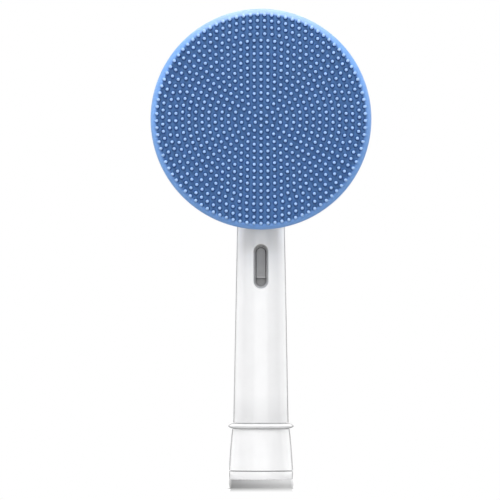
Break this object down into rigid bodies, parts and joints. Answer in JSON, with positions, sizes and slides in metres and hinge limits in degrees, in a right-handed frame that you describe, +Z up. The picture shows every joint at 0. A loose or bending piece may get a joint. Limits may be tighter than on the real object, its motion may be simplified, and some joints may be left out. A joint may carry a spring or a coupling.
{
  "type": "facial cleansing brush head",
  "caption": "Round silicone cleansing pad with soft nubs on a slim white stem that pushes onto a powered handle. A rod inside the stem swings the pad to and fro.",
  "frame": {"origin": "on the stem's axis, in the plane of the foot's rim, at the mouth of the handle socket", "axes": "+Z up the stem towards the pad, the nubs face -Y, +X to the right when looking at the nubs"},
  "size_m": [0.045, 0.0186, 0.0958],
  "materials": {
    "blue_silicone": "soft satin silicone, slightly see-through at thin edges",
    "white_plastic": "smooth moulded white",
    "ring_plastic": "smooth white",
    "grey_plastic": "satin moulded grey",
    "steel": "bright drawn steel"
  },
  "bodies": {
    "stem": {"stem_housing": "white_plastic", "base_insert": "white_plastic", "marker_ring": "ring_plastic", "retaining_pin": "steel"},
    "drive": {"drive_rod": "grey_plastic", "shaft_clip": "steel"},
    "head": {"pad_carrier": "white_plastic", "pad_backing": "white_plastic", "silicone_pad": "blue_silicone"}
  },
  "joints": [
    {"name": "pad_swing", "type": "hinge", "parent": "stem", "child": "head", "pos_m": [0, 0, 0.07335], "axis": [0, 1, 0], "range_deg": [-22.5, 22.5]},
    {"name": "rod_turn", "type": "hinge", "parent": "stem", "child": "drive", "pos_m": [0, 0, 0.0203], "axis": [0, 0, 1], "range_deg": [-28, 28]}
  ],
  "couplings": [
    {"joint": "rod_turn", "follows": "pad_swing", "ratio": -1.2427}
  ]
}
